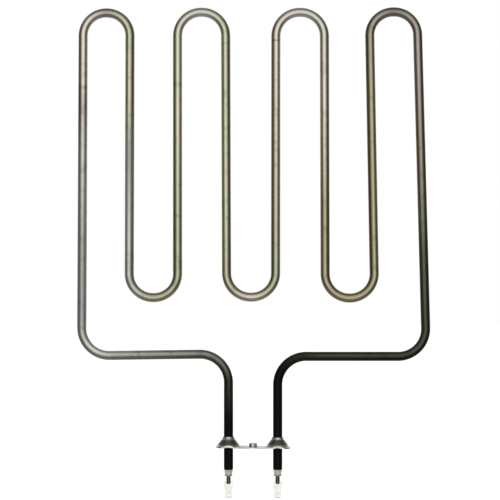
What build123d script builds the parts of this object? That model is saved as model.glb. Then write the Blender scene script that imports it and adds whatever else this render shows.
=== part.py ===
from build123d import *
import os
from math import radians, tan

# Tubular heating element: one steel-sheathed tube bent into a serpentine of eight upright runs,
# whose two legs pass through the drawn collars of a pressed bracket and end in ceramic beads,
# terminal pins and push-on tabs.
#
# All sizes are in millimetres. The origin is the middle of the bracket's underside. +Z runs up the
# legs to the serpentine, +X to the right, and the front of the element faces -Y.

# ---------------------------------------------------------------------------
# Driving dimensions
# ---------------------------------------------------------------------------

# Sheath tube
TUBE_OD = 8.0
TUBE_WALL = 0.6
TUBE_ID = TUBE_OD - 2 * TUBE_WALL
LEG_X = 21.25            # each leg's distance from the middle
LEG_END_Z = -18.7        # cut ends of the tube, below the bracket

# Serpentine: the runs were bent by hand on a former, so their spacing is a little uneven.
# Each run is given by its centre at two heights, from left to right.
UPPER_Z = 347.6
LOWER_Z = 160.7
RUN_X_UPPER = [-147.0, -106.5, -65.3, -23.7, 19.7, 61.7, 101.1, 142.6]
RUN_X_LOWER = [-147.9, -107.1, -65.3, -23.0, 19.5, 62.3, 104.6, 147.7]
TOP_BEND_Z = [376.1, 376.7, 376.6, 377.0]
BOTTOM_BEND_Z = [129.9, 130.3, 129.5]
BEND_FLAT = 0.6          # level stretch left at the crown of each U-bend
CORNER_Z = [79.6, 79.1]  # outer corners, left and right
ELBOW_Z = [81.3, 79.1]   # elbows above the legs, left and right
CORNER_R = 23.8
ELBOW_R = 24.6

# Cold pins, heating coil and magnesia packing
PIN_D = 3.4
PIN_END_Z = -31.3
PIN_TOP_Z = 41.3
PIN_END_ROUND = 1.1
SPIGOT_D = 2.6           # turned end that the coil is wound on
SPIGOT_LENGTH = 8.0
PIN_FLAT_Y = 0.6         # flat pressed on the back of the pin for the tab
PIN_FLAT_LENGTH = 6.0

# Ceramic bead and resin seal in each tube end
BEAD_SHANK_D = 6.6
BEAD_BORE_D = 3.5
BEAD_SHANK_LENGTH = 5.0
BEAD_SHOULDER_D = 7.1
BEAD_WAIST_D = 6.3
BEAD_BRIM_D = 6.7
BEAD_LENGTH = 5.6        # part that shows below the tube
BEAD_SHOULDER = 1.5      # heights of the shoulder and the brim
BEAD_BRIM = 1.3
BEAD_CHAMFER = 0.3
SEAL_LENGTH = 4.0

# Push-on tab, 6.3 x 0.8
TAB_WIDTH = 6.3
TAB_THICKNESS = 0.8
TAB_TIP_Z = -43.3
TAB_SHOULDER_WIDTH = 7.4
TAB_SHOULDER_Z = [-28.7, -34.7]
TAB_SHOULDER_ROUND = 0.5
TAB_TONGUE_WIDTH = 4.2
TAB_TONGUE_Z = -25.5
TAB_TIP_CUT = 1.1
TAB_LEAD_IN = 0.25
DIMPLE_R = 1.6
DIMPLE_DEPTH = 0.25
DIMPLE_TO_TIP = 3.9

# Pressed bracket with a drawn collar round each leg
SHEET = 1.0
BRACKET_DEPTH = 19.0
BRACKET_END_R = 11.25    # rounded ends, centred on the legs
BRACKET_CORNER_R = 2.0
COLLAR_FOOT_R = 10.1     # where the cone would meet the underside
COLLAR_ANGLE = 38.0      # cone, from the leg's axis
COLLAR_TOP_Z = 9.4
COLLAR_FOOT_BEND = 1.8
COLLAR_NECK_BEND = 2.0
COLLAR_BLANK_R = 11.0    # where the drawn collar ends and the flat strip begins

# M4 press-in nut between the legs
NUT_BODY_D = 7.0
NUT_HEIGHT = 3.0
NUT_SHANK_D = 5.6
NUT_BORE_D = 3.3
NUT_CHAMFER = 0.3

LEGS = {"left": -LEG_X, "right": LEG_X}
SEAL_BASE_Z = LEG_END_Z + BEAD_SHANK_LENGTH
SEAL_TOP_Z = SEAL_BASE_Z + SEAL_LENGTH
COIL_START_Z = PIN_TOP_Z - SPIGOT_LENGTH

os.makedirs("parts", exist_ok=True)


def write(piece, name):
    """Label a finished piece and write its STEP file."""
    piece.part.label = name
    export_step(piece.part, f"parts/{name}.step")


# ---------------------------------------------------------------------------
# Centreline of the tube
# ---------------------------------------------------------------------------


def run_x(run, z):
    """Centre of a run at height z, on the straight line through its two given centres."""
    slope = (RUN_X_UPPER[run] - RUN_X_LOWER[run]) / (UPPER_Z - LOWER_Z)
    return RUN_X_LOWER[run] + slope * (z - LOWER_Z)


def serpentine_corners():
    """Square corners of the seven U-bends and the radius that rounds each one."""
    corners, radii = [], []
    for bend in range(len(RUN_X_UPPER) - 1):
        heights = BOTTOM_BEND_Z if bend % 2 else TOP_BEND_Z
        z = heights[bend // 2]
        left, right = run_x(bend, z), run_x(bend + 1, z)
        corners += [(left, z), (right, z)]
        radii += [(right - left - BEND_FLAT) / 2] * 2
    return corners, radii


def centreline(end_z):
    """The tube's path between two points at height end_z on the legs, as lines and tangent arcs."""
    corners, bend_radii = serpentine_corners()
    points = [
        (-LEG_X, end_z),
        (-LEG_X, ELBOW_Z[0]),
        (run_x(0, CORNER_Z[0]), CORNER_Z[0]),
        *corners,
        (run_x(len(RUN_X_UPPER) - 1, CORNER_Z[1]), CORNER_Z[1]),
        (LEG_X, ELBOW_Z[1]),
        (LEG_X, end_z),
    ]
    radii = [ELBOW_R, CORNER_R, *bend_radii, CORNER_R, ELBOW_R]
    with BuildLine(Plane.XZ) as line:
        FilletPolyline(*points, radius=radii)
    return line.wire()


def start_plane(path):
    """The plane square to a path at its beginning."""
    return Plane(origin=path @ 0, z_dir=path % 0)


# ---------------------------------------------------------------------------
# The tube and what is packed inside it
# ---------------------------------------------------------------------------

tube_path = centreline(LEG_END_Z)
with BuildPart() as sheath_tube:
    with BuildSketch(start_plane(tube_path)):
        Circle(TUBE_OD / 2)
        Circle(TUBE_ID / 2, mode=Mode.SUBTRACT)
    sweep(path=tube_path)
write(sheath_tube, "sheath_tube")

# The coil is drawn as the rod that its turns and their packed core fill, bored at each end where
# it is wound on a pin's spigot.
coil_path = centreline(COIL_START_Z)
with BuildPart() as resistance_coil:
    with BuildSketch(start_plane(coil_path)):
        Circle(PIN_D / 2)
    sweep(path=coil_path)
    with Locations(*[(x, 0, COIL_START_Z) for x in LEGS.values()]):
        Cylinder(
            SPIGOT_D / 2, SPIGOT_LENGTH,
            align=(Align.CENTER, Align.CENTER, Align.MIN), mode=Mode.SUBTRACT,
        )
write(resistance_coil, "resistance_coil")

packing_path = centreline(SEAL_TOP_Z)
with BuildPart() as magnesia_fill:
    with BuildSketch(start_plane(packing_path)):
        Circle(TUBE_ID / 2)
        Circle(PIN_D / 2, mode=Mode.SUBTRACT)
    sweep(path=packing_path)
write(magnesia_fill, "magnesia_fill")


# ---------------------------------------------------------------------------
# Fittings in each leg's end
# ---------------------------------------------------------------------------


def build_terminal_pin(leg, side):
    """Cold pin: a rod with a turned spigot, a rounded end and a flat pressed for the tab."""
    with BuildPart(leg.offset(PIN_END_Z)) as terminal_pin:
        Cylinder(PIN_D / 2, COIL_START_Z - PIN_END_Z, align=(Align.CENTER, Align.CENTER, Align.MIN))
        fillet(terminal_pin.edges().filter_by(GeomType.CIRCLE).sort_by(Axis.Z)[0], PIN_END_ROUND)
        with BuildSketch(leg.offset(COIL_START_Z)):
            Circle(SPIGOT_D / 2)
        extrude(amount=SPIGOT_LENGTH)
        with Locations((0, PIN_FLAT_Y, 0)):
            Box(
                PIN_D, PIN_D, PIN_FLAT_LENGTH,
                align=(Align.CENTER, Align.MIN, Align.MIN), mode=Mode.SUBTRACT,
            )
    write(terminal_pin, f"terminal_pin_{side}")


def build_resin_seal(leg, side):
    """Moulded seal that closes the packing behind the bead."""
    with BuildPart() as resin_seal:
        with BuildSketch(leg.offset(SEAL_BASE_Z)):
            Circle(TUBE_ID / 2)
            Circle(PIN_D / 2, mode=Mode.SUBTRACT)
        extrude(amount=SEAL_LENGTH)
    write(resin_seal, f"resin_seal_{side}")


def build_ceramic_bead(front, side):
    """Turned bead: a shank in the tube, a shoulder on its cut end, a hollow waist and a brim below."""
    bore, shank, shoulder = BEAD_BORE_D / 2, BEAD_SHANK_D / 2, BEAD_SHOULDER_D / 2
    waist, brim = BEAD_WAIST_D / 2, BEAD_BRIM_D / 2
    bottom = LEG_END_Z - BEAD_LENGTH
    waist_top, waist_bottom = LEG_END_Z - BEAD_SHOULDER, bottom + BEAD_BRIM
    with BuildPart() as ceramic_bead:
        with BuildSketch(front):
            with BuildLine():
                Polyline(
                    (brim, waist_bottom), (brim, bottom), (bore, bottom), (bore, SEAL_BASE_Z),
                    (shank, SEAL_BASE_Z), (shank, LEG_END_Z), (shoulder, LEG_END_Z),
                    (shoulder, waist_top),
                )
                ThreePointArc(
                    (shoulder, waist_top),
                    (waist, (waist_top + waist_bottom) / 2),
                    (brim, waist_bottom),
                )
            make_face()
        revolve(axis=Axis(front.origin, (0, 0, 1)))
        chamfer(ceramic_bead.edges().filter_by(GeomType.CIRCLE).group_by(Axis.Z)[0], BEAD_CHAMFER)
    write(ceramic_bead, f"ceramic_bead_{side}")


def build_tab_terminal(front, side):
    """Push-on tab: a weld tongue on the pin's flat, a stop shoulder and a bevelled blade."""
    tongue, shoulder, blade = TAB_TONGUE_WIDTH / 2, TAB_SHOULDER_WIDTH / 2, TAB_WIDTH / 2
    shoulder_top, shoulder_base = TAB_SHOULDER_Z
    back = front.offset(-PIN_FLAT_Y)
    with BuildPart(back) as tab_terminal:
        with BuildSketch(back) as outline:
            with BuildLine():
                Polyline(
                    (0, TAB_TONGUE_Z),
                    (tongue, TAB_TONGUE_Z),
                    (tongue, shoulder_top),
                    (shoulder, shoulder_top),
                    (shoulder, shoulder_base),
                    (blade, shoulder_base),
                    (blade, TAB_TIP_Z + TAB_TIP_CUT),
                    (blade - TAB_TIP_CUT, TAB_TIP_Z),
                    (0, TAB_TIP_Z),
                )
                mirror(about=Plane.YZ)
            make_face()
            sides = outline.vertices().group_by(Axis.X)
            fillet(sides[0] + sides[-1], TAB_SHOULDER_ROUND)
        extrude(amount=-TAB_THICKNESS)
        tip = tab_terminal.faces().sort_by(Axis.Z)[0]
        chamfer(tip.edges().filter_by(Axis.X), TAB_LEAD_IN)
        with Locations((0, TAB_TIP_Z + DIMPLE_TO_TIP, DIMPLE_R - DIMPLE_DEPTH)):
            Sphere(DIMPLE_R, mode=Mode.SUBTRACT)
    write(tab_terminal, f"tab_terminal_{side}")


for side, x in LEGS.items():
    leg_plane = Plane(origin=(x, 0, 0), x_dir=(1, 0, 0), z_dir=(0, 0, 1))
    front_plane = Plane(origin=(x, 0, 0), x_dir=(1, 0, 0), z_dir=(0, -1, 0))
    build_terminal_pin(leg_plane, side)
    build_resin_seal(leg_plane, side)
    build_ceramic_bead(front_plane, side)
    build_tab_terminal(front_plane, side)


# ---------------------------------------------------------------------------
# Mounting bracket and its nut
# ---------------------------------------------------------------------------

# The strip's outline: straight long edges, and ends rounded about the legs.
with BuildSketch() as strip_outline:
    SlotCenterToCenter(2 * LEG_X, 2 * BRACKET_END_R)
    Rectangle(2 * (LEG_X + BRACKET_END_R), BRACKET_DEPTH, mode=Mode.INTERSECT)
    fillet(strip_outline.vertices(), BRACKET_CORNER_R)

# One sheet: the collars are drawn up out of the strip, and its long edges cut across their cones.
collar_neck_z = (COLLAR_FOOT_R - TUBE_OD / 2) / tan(radians(COLLAR_ANGLE))
with BuildPart() as mounting_bracket:
    extrude(strip_outline.sketch, amount=SHEET)
    for x in LEGS.values():
        with Locations((x, 0, 0)):
            Cylinder(COLLAR_BLANK_R, 2 * SHEET, mode=Mode.SUBTRACT)
    for x in LEGS.values():
        with BuildSketch(Plane(origin=(x, 0, 0), x_dir=(1, 0, 0), z_dir=(0, -1, 0))):
            with BuildLine():
                FilletPolyline(
                    (COLLAR_BLANK_R, 0),
                    (COLLAR_FOOT_R, 0),
                    (TUBE_OD / 2, collar_neck_z),
                    (TUBE_OD / 2, COLLAR_TOP_Z),
                    radius=[COLLAR_FOOT_BEND, COLLAR_NECK_BEND],
                )
                offset(amount=SHEET, side=Side.RIGHT)
            make_face()
        revolve(axis=Axis((x, 0, 0), (0, 0, 1)))
    extrude(strip_outline.sketch, amount=COLLAR_TOP_Z, mode=Mode.INTERSECT)
    Hole(NUT_SHANK_D / 2)
write(mounting_bracket, "mounting_bracket")

with BuildPart() as press_nut:
    Cylinder(NUT_SHANK_D / 2, SHEET, align=(Align.CENTER, Align.CENTER, Align.MIN))
    with BuildSketch(Plane.XY.offset(SHEET)):
        Circle(NUT_BODY_D / 2)
    extrude(amount=NUT_HEIGHT)
    Hole(NUT_BORE_D / 2)
    rims = press_nut.edges().filter_by(GeomType.CIRCLE)
    chamfer(rims.group_by(Axis.Z)[-1], NUT_CHAMFER)
    chamfer(rims.group_by(Axis.Z)[0].sort_by(SortBy.RADIUS)[0], NUT_CHAMFER)
write(press_nut, "press_nut")
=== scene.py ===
"""Looks of a tubular heating element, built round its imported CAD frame.

The element is a steel-sheathed tube bent into a flat serpentine of eight upright runs. Its two legs
pass through the drawn collars of a pressed bracket and end in ceramic beads, terminal pins and
push-on tabs. Sizes are in millimetres until a mesh is made, which is in metres. +Z runs up the
legs, +X to the right, and the front faces -Y.
"""

import logging
from dataclasses import dataclass, field
from enum import Enum
from typing import Iterable, Sequence

import bmesh
import bpy
import numpy as np
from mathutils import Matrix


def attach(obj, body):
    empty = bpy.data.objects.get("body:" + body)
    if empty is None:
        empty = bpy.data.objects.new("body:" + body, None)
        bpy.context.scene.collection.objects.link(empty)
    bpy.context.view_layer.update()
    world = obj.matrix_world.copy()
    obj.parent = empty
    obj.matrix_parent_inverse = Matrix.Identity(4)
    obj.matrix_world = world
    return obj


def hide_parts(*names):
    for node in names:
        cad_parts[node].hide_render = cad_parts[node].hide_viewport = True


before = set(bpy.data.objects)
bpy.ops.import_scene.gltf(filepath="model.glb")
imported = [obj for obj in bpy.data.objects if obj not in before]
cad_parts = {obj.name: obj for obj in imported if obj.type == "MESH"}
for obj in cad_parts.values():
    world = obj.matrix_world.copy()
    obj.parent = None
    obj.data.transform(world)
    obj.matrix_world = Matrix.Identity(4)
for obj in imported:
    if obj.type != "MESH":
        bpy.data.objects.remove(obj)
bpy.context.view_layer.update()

MM = 0.001
WELD_DISTANCE = 0.0005  # below which two vertices of a pole or seam are one, in millimetres
EDGE_SEGMENTS = 3
SHARP_ANGLE = np.radians(50)
Y_AXIS = np.array([0.0, 1.0, 0.0])
WHITE = (1.0, 1.0, 1.0, 1.0)
BODY = "root"
log = logging.getLogger("heating_element")

Colour = tuple[float, float, float]
Span = tuple[float, float]
Material = bpy.types.Material
Socket = bpy.types.NodeSocket


class Side(Enum):
    """The two legs of the element, as the sign of their X."""

    LEFT = -1
    RIGHT = 1

    @property
    def tag(self) -> str:
        """The word that ends the names of this side's pieces."""
        return self.name.lower()


# ---- Surfaces ----


@dataclass
class Surface:
    """Points and faces of one surface, held as whole arrays.

    Attributes:
        points: One row of x, y and z in millimetres for each vertex.
        quads: One row of four vertex numbers for each face.
        values: Named values of each vertex, as a column or as rows of three or four.
    """

    points: np.ndarray
    quads: np.ndarray
    values: dict[str, np.ndarray] = field(default_factory=dict)


def grid(points: np.ndarray, wrap_rows: bool = False, wrap_columns: bool = True) -> Surface:
    """Joins a grid of points into quads.

    A quad's corners are a point, the next in its row, and the same two in the next row.

    Args:
        points: An array of rows, columns and three coordinates.
        wrap_rows: Whether the last row joins the first.
        wrap_columns: Whether the last column joins the first.

    Returns:
        The surface, with its vertices numbered row by row.
    """
    rows, columns = points.shape[:2]
    number = np.arange(rows * columns).reshape(rows, columns)
    if wrap_columns:
        number = np.concatenate([number, number[:, :1]], axis=1)
    if wrap_rows:
        number = np.concatenate([number, number[:1]], axis=0)
    corners = (number[:-1, :-1], number[:-1, 1:], number[1:, 1:], number[1:, :-1])
    return Surface(points.reshape(-1, 3), np.stack(corners, axis=-1).reshape(-1, 4))


def joined(surfaces: Iterable[Surface]) -> Surface:
    """Puts several surfaces into one, numbering their vertices on from each other.

    Args:
        surfaces: The surfaces, whose named values are left out.

    Returns:
        The one surface.
    """
    points, quads, first = [], [], 0
    for surface in surfaces:
        points.append(surface.points)
        quads.append(surface.quads + first)
        first += len(surface.points)
    return Surface(np.concatenate(points), np.concatenate(quads))


def corner_arc(
    before: np.ndarray, corner: np.ndarray, after: np.ndarray, radius: float, steps: int
) -> tuple[np.ndarray, np.ndarray]:
    """Rounds one corner of a path with an arc tangent to both its sides.

    With u and v the unit vectors back and forward from the corner and h half the angle between
    them, the arc starts radius / tan(h) along u and its centre lies radius / sin(h) along u + v.
    Points and directions turn evenly from one end to the other, by spherical interpolation.

    Args:
        before: The point before the corner.
        corner: The corner.
        after: The point after the corner.
        radius: The arc's radius.
        steps: The number of equal turns along the arc.

    Returns:
        The arc's points and its unit directions of travel.
    """
    u = (before - corner) / np.linalg.norm(before - corner)
    v = (after - corner) / np.linalg.norm(after - corner)
    half = np.arccos(np.clip(u @ v, -1, 1)) / 2
    middle = (u + v) / np.linalg.norm(u + v)
    centre = corner + middle * radius / np.sin(half)
    start = corner + u * radius / np.tan(half) - centre
    end = corner + v * radius / np.tan(half) - centre
    turn = np.pi - 2 * half
    share = np.linspace(0, 1, steps + 1)[:, None]
    fade_in = np.sin(share * turn) / np.sin(turn)
    fade_out = np.sin((1 - share) * turn) / np.sin(turn)
    return centre + fade_out * start + fade_in * end, fade_in * v - fade_out * u


def rounded(corners: Sequence[tuple[float, float, float]], steps: int = 5) -> np.ndarray:
    """Rounds the corners of an open flat outline.

    Args:
        corners: Each corner as its two coordinates and its radius, 0 where it stays sharp.
        steps: The number of equal turns along each arc.

    Returns:
        The outline's points, as rows of two coordinates.
    """
    places = np.array(corners, float)[:, :2]
    pieces = [places[:1]]
    for i in range(1, len(corners) - 1):
        radius = corners[i][2]
        if radius > 0:
            pieces.append(corner_arc(*places[i - 1 : i + 2], radius, steps)[0])
        else:
            pieces.append(places[i : i + 1])
    return np.concatenate([*pieces, places[-1:]])


def divided(outline: np.ndarray, step: float) -> np.ndarray:
    """Adds even points to an open outline wherever two neighbours are far apart.

    Args:
        outline: Rows of two coordinates.
        step: The largest distance that neighbours keep.

    Returns:
        The outline with the added points.
    """
    gaps = np.linalg.norm(np.diff(outline, axis=0), axis=1)
    parts = np.maximum(1, np.ceil(gaps / step)).astype(int)
    place = np.repeat(np.arange(len(parts)), parts)
    share = np.concatenate([np.arange(n) / n for n in parts])
    inner = outline[place] + share[:, None] * (outline[place + 1] - outline[place])
    return np.concatenate([inner, outline[-1:]])


def lathe(profile: np.ndarray, axis_x: float, closed: bool, segments: int = 64) -> np.ndarray:
    """Turns a profile round an upright axis.

    The point at radius r, height z and turn a is (axis_x + r cos a, r sin a, z).

    Args:
        profile: Rows of radius and height.
        axis_x: The axis's place along X.
        closed: Whether the profile's last point joins its first.
        segments: The number of points round the axis.

    Returns:
        A grid of points, one row for each profile point and one more where it is closed.
    """
    loop = np.concatenate([profile, profile[:1]]) if closed else profile
    turn = np.linspace(0, 2 * np.pi, segments, endpoint=False)
    radius, height = loop[:, :1], loop[:, 1:]
    return np.stack(
        np.broadcast_arrays(axis_x + radius * np.cos(turn), radius * np.sin(turn), height), axis=-1
    )


def smoothstep(low: float, high: float, value: np.ndarray) -> np.ndarray:
    """Rises from 0 at low to 1 at high, level at both ends: 3 t squared less 2 t cubed."""
    share = np.clip((value - low) / (high - low), 0, 1)
    return share * share * (3 - 2 * share)


def make_piece(
    name: str, surface: Surface, material: Material, node: str, bevel: float = 0.0
) -> None:
    """Makes a surface into a piece that rides on the element and stands for a CAD node.

    Args:
        name: The piece's name.
        surface: Its surface, closed, in millimetres.
        material: Its finish.
        node: The CAD node that it stands for.
        bevel: The width of a small round on its sharp edges, or 0 for none.
    """
    mesh = bpy.data.meshes.new(name)
    mesh.from_pydata((surface.points * MM).tolist(), [], surface.quads.tolist())
    kinds = {1: ("FLOAT", "value"), 3: ("FLOAT_VECTOR", "vector"), 4: ("FLOAT_COLOR", "color")}
    for label, values in surface.values.items():
        kind, key = kinds[values.reshape(len(values), -1).shape[1]]
        attribute = mesh.attributes.new(label, kind, "POINT")
        attribute.data.foreach_set(key, values.astype(np.float32).ravel())
    shell = bmesh.new()
    shell.from_mesh(mesh)
    bmesh.ops.remove_doubles(shell, verts=shell.verts, dist=WELD_DISTANCE * MM)
    bmesh.ops.recalc_face_normals(shell, faces=shell.faces)
    shell.to_mesh(mesh)
    shell.free()
    mesh.shade_smooth()
    piece = bpy.data.objects.new(name, mesh)
    bpy.context.scene.collection.objects.link(piece)
    piece.data.materials.append(material)
    if bevel > 0:
        rounding = piece.modifiers.new("edge_rounding", "BEVEL")
        rounding.width = bevel * MM
        rounding.segments = EDGE_SEGMENTS
        rounding.limit_method = "ANGLE"
        rounding.angle_limit = SHARP_ANGLE
        piece.modifiers.new("flat_faces", "WEIGHTED_NORMAL")
    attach(piece, BODY)
    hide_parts(node)
    log.info("%s: %d vertices, for %s", name, len(mesh.vertices), node)


def dress(node: str, material: Material) -> None:
    """Gives a material to a CAD node that keeps its own mesh.

    Args:
        node: The node's name.
        material: Its finish.
    """
    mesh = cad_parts[node].data
    mesh.materials.clear()
    mesh.materials.append(material)
    log.info("%s: keeps its mesh, dressed in %s", node, material.name)


# ---- Shader wiring ----


def linear(red: float, green: float, blue: float) -> tuple[float, float, float, float]:
    """Turns a colour as it shows on a screen into the linear light of a shader.

    Args:
        red: Its red, from 0 to 255.
        green: Its green.
        blue: Its blue.

    Returns:
        Its red, green and blue from 0 to 1, and 1 for full cover.
    """
    shown = np.array([red, green, blue]) / 255
    light = np.where(shown <= 0.04045, shown / 12.92, ((shown + 0.055) / 1.055) ** 2.4)
    return (*light.tolist(), 1.0)


class Wiring:
    """Places and joins the nodes of one material, group or world."""

    def __init__(self, tree: bpy.types.NodeTree) -> None:
        """Starts on an empty tree."""
        self.tree = tree
        tree.nodes.clear()

    def add(self, kind: str, inputs: dict | None = None, **settings: object) -> bpy.types.Node:
        """Adds a node.

        Args:
            kind: The node's type, without the ShaderNode or NodeGroup in front of it.
            inputs: What goes into its sockets by name or number: a value, or another's output.
            settings: The node's own properties.

        Returns:
            The node.
        """
        prefix = "NodeGroup" if kind in ("Input", "Output") else "ShaderNode"
        node = self.tree.nodes.new(prefix + kind)
        for key, value in settings.items():
            setattr(node, key, value)
        for key, value in (inputs or {}).items():
            if isinstance(value, Socket):
                self.tree.links.new(value, node.inputs[key])
            else:
                node.inputs[key].default_value = value
        return node

    def math(self, operation: str, *values: object, clamp: bool = False) -> Socket:
        """The result of a sum on numbers or outputs."""
        node = self.add("Math", dict(enumerate(values)), operation=operation, use_clamp=clamp)
        return node.outputs[0]

    def times(self, first: object, second: object) -> Socket:
        """The product of two numbers or outputs."""
        return self.math("MULTIPLY", first, second)

    def plus(self, first: object, second: object) -> Socket:
        """The sum of two numbers or outputs."""
        return self.math("ADD", first, second)

    def mix(self, amount: object, first: object, second: object, blend: str = "MIX") -> Socket:
        """Two colours mixed by an amount from 0, the first, to 1, the second."""
        node = self.add("Mix", {0: amount, 6: first, 7: second}, data_type="RGBA", blend_type=blend)
        return node.outputs[2]

    def between(
        self, value: object, low: float, high: float, start: float = 0.0, end: float = 1.0
    ) -> Socket:
        """A value carried smoothly from the range low to high onto the range start to end."""
        inputs = {"Value": value, "From Min": low, "From Max": high, "To Min": start, "To Max": end}
        return self.add("MapRange", inputs, interpolation_type="SMOOTHSTEP").outputs[0]

    def either(self, share: Socket, first: Socket, second: Socket) -> Socket:
        """Two shaders mixed by a share from 0, the first, to 1, the second."""
        return self.add("MixShader", {0: share, 1: first, 2: second}).outputs[0]

    def noise(self, place: Socket, size: Socket, detail: object) -> Socket:
        """Smooth noise whose features are about a given size."""
        inputs = {"Vector": place, "Scale": self.math("DIVIDE", 1.0, size), "Detail": detail}
        return self.add("TexNoise", inputs).outputs[0]

    def effect(self, group: bpy.types.NodeTree, place: Socket, **inputs: object) -> Socket:
        """The output of a shared effect at a place, with its other inputs by name."""
        inputs = {key.replace("_", " "): value for key, value in inputs.items()}
        return self.add("Group", {"Vector": place} | inputs, node_tree=group).outputs[0]


class GroupWiring(Wiring):
    """The wiring of one new shared effect, which has a place, other inputs and one output."""

    def __init__(self, name: str, colours: str = "", numbers: str = "") -> None:
        """Starts an empty group.

        Args:
            name: The group's name.
            colours: The names of its colour inputs, with commas between them.
            numbers: The names of its other inputs but the place.
        """
        super().__init__(bpy.data.node_groups.new(name, "ShaderNodeTree"))
        for kind, labels in (("Vector", "Vector"), ("Color", colours), ("Float", numbers)):
            for label in filter(None, labels.split(", ")):
                self.socket(label, kind, "INPUT")
        self.given = self.add("Input").outputs

    def socket(self, label: str, kind: str, side: str) -> None:
        """Gives the group an input or output."""
        self.tree.interface.new_socket(label, in_out=side, socket_type="NodeSocket" + kind)

    def finished(self, label: str, kind: str, value: Socket) -> bpy.types.NodeTree:
        """Puts the value out under a name and gives the group back.

        Args:
            label: The output's name.
            kind: Its type, Float or Color.
            value: What it gives.

        Returns:
            The group.
        """
        self.socket(label, kind, "OUTPUT")
        self.add("Output", {label: value})
        return self.tree


class Effects:
    """The shared effects: blotches, drawn lines, a slow drift of hue and rings round a tube."""

    HUE_NOISE: Span = (0.36, 0.64)

    def __init__(self) -> None:
        """Builds each group once."""
        self.blotches = self._blotches()
        self.lines = self._lines()
        self.drift = self._drift()
        self.ring = self._ring()

    @staticmethod
    def _blotches() -> bpy.types.NodeTree:
        """Soft-edged patches of a given size, as a mask: noise between two levels.

        Returns:
            The group.
        """
        w = GroupWiring("blotches", numbers="Size, Low, High, Detail")
        noise = w.noise(w.given["Vector"], w.given["Size"], w.given["Detail"])
        return w.finished("Mask", "Float", w.between(noise, w.given["Low"], w.given["High"]))

    @staticmethod
    def _lines() -> bpy.types.NodeTree:
        """Fine lines along the first axis, as a height: noise on a vector squeezed along it.

        Returns:
            The group.
        """
        w = GroupWiring("drawn_lines", numbers="Spacing, Stretch")
        along = w.math("DIVIDE", 1.0, w.given["Stretch"])
        squeeze = w.add("CombineXYZ", {0: along, 1: 1.0, 2: 1.0}).outputs[0]
        place = w.add("VectorMath", {0: w.given["Vector"], 1: squeeze}, operation="MULTIPLY")
        return w.finished("Height", "Float", w.noise(place.outputs[0], w.given["Spacing"], 2.0))

    @staticmethod
    def _drift() -> bpy.types.NodeTree:
        """A colour that drifts between two hues over a given length, by slow noise.

        Returns:
            The group.
        """
        w = GroupWiring("hue_drift", "Color, First, Second", "Length, Amount")
        noise = w.noise(w.given["Vector"], w.given["Length"], 2.5)
        share = w.between(noise, *Effects.HUE_NOISE)
        hue = w.mix(share, w.given["First"], w.given["Second"])
        drifted = w.mix(w.given["Amount"], w.given["Color"], hue, "MULTIPLY")
        return w.finished("Color", "Color", drifted)

    @staticmethod
    def _ring() -> bpy.types.NodeTree:
        """A ring round a tube, as a mask: 1 at its place along it and 0 half a length away.

        Returns:
            The group.
        """
        w = GroupWiring("ring", numbers="Place, Half Length")
        along = w.add("SeparateXYZ", {0: w.given["Vector"]}).outputs[0]
        away = w.math("ABSOLUTE", w.math("SUBTRACT", along, w.given["Place"]))
        return w.finished("Mask", "Float", w.between(away, 0.0, w.given["Half Length"], 1.0, 0.0))


class MaterialWiring(Wiring):
    """The wiring of one new material."""

    def __init__(self, name: str) -> None:
        """Starts an empty material.

        Args:
            name: The material's name.
        """
        self.material = bpy.data.materials.new(name)
        self.material.use_nodes = True
        super().__init__(self.material.node_tree)

    def finished(self, shader: Socket) -> Material:
        """Joins the shader to the material's output and gives the material back."""
        self.add("OutputMaterial", {"Surface": shader})
        return self.material

    def darkened(self, colour: Socket, mask: Socket, strength: float, shade: Colour) -> Socket:
        """The colour multiplied by a shade where the mask is, as far as the strength says."""
        return self.mix(self.times(mask, strength), colour, linear(*shade), "MULTIPLY")

    def coated(
        self, colour: Socket, roughness: Socket, height: Socket, relief: Span,
        settings: dict[str, object],
    ) -> Material:
        """Ends the material in a principled shader over a bump.

        Args:
            colour: The base colour.
            roughness: The roughness.
            height: The height of the bump.
            relief: The bump's strength and its depth in millimetres.
            settings: The shader's other inputs, by name.

        Returns:
            The material.
        """
        strength, depth = relief
        bump = self.add("Bump", {"Height": height, "Strength": strength, "Distance": depth * MM})
        inputs = {"Base Color": colour, "Roughness": roughness, "Normal": bump.outputs[0]}
        return self.finished(self.add("BsdfPrincipled", inputs | settings).outputs[0])


# ---- Finishes ----


def metres(span: Span) -> Span:
    """A span of two millimetre values, in metres."""
    return span[0] * MM, span[1] * MM


class HeatTint(Enum):
    """Colours that heat leaves on steel, in plain steps, and how much dull oxide is on each."""

    CREAM = (210, 205, 190, 0.0)
    PALE_STRAW = (205, 205, 185, 0.0)
    STRAW = (195, 195, 170, 0.0)
    DEEP_STRAW = (180, 180, 155, 0.0)
    BRONZE = (170, 165, 135, 0.0)
    SILVER = (200, 200, 195, 0.1)
    STEEL = (165, 165, 160, 0.3)
    LILAC = (180, 175, 175, 0.0)
    TAUPE = (160, 155, 145, 0.0)
    BROWN = (150, 140, 125, 0.0)
    UMBER = (130, 125, 115, 0.1)
    OLIVE = (120, 120, 100, 0.1)
    GUNMETAL = (115, 115, 110, 0.1)
    SMOKE = (90, 90, 75, 0.1)
    SCALE = (62, 62, 57, 0.1)
    BLACK = (12, 12, 10, 1.0)

    @property
    def light(self) -> np.ndarray:
        """The colour as linear light."""
        return np.array(linear(*self.value[:3]))

    @property
    def oxide(self) -> float:
        """The share of dull oxide."""
        return self.value[3]


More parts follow.
